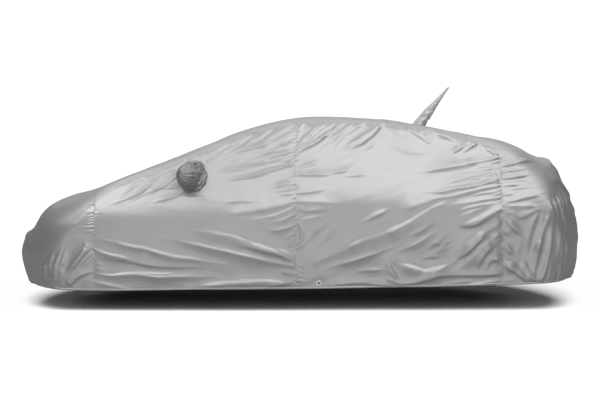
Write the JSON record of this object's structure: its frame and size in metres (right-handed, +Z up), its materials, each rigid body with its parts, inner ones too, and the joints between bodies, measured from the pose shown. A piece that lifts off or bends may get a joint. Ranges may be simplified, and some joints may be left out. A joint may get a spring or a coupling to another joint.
{
  "type": "car cover",
  "caption": "Fitted cloth cover for a small hatchback car, hollow and open below, with door mirror pouches, a slanted antenna sleeve and metal hem eyelets.",
  "frame": {"origin": "under the roof cloth on the centre plane, where the car's roof carries the cover", "axes": "+X to the tail, so the nose looks along -X; +Y to the car's right side; +Z up"},
  "size_m": [4.394, 1.9278, 1.5672],
  "materials": {
    "cover_cloth": "satin silver-grey coated polyester, unlined",
    "pocket_cloth": "the same cloth, gathered into a pouch or sleeve",
    "eyelet_metal": "bright rolled eyelet"
  },
  "bodies": {
    "root": {"top_panel": "cover_cloth", "nose_panel": "cover_cloth", "tail_panel": "cover_cloth", "front_side_left": "cover_cloth", "front_side_right": "cover_cloth", "rear_side_left": "cover_cloth", "rear_side_right": "cover_cloth", "antenna_patch": "cover_cloth", "grommet_patch_left": "cover_cloth", "grommet_patch_right": "cover_cloth", "mirror_pocket_left": "pocket_cloth", "mirror_pocket_right": "pocket_cloth", "antenna_pocket": "pocket_cloth", "grommet_left": "eyelet_metal", "grommet_right": "eyelet_metal"}
  },
  "joints": []
}
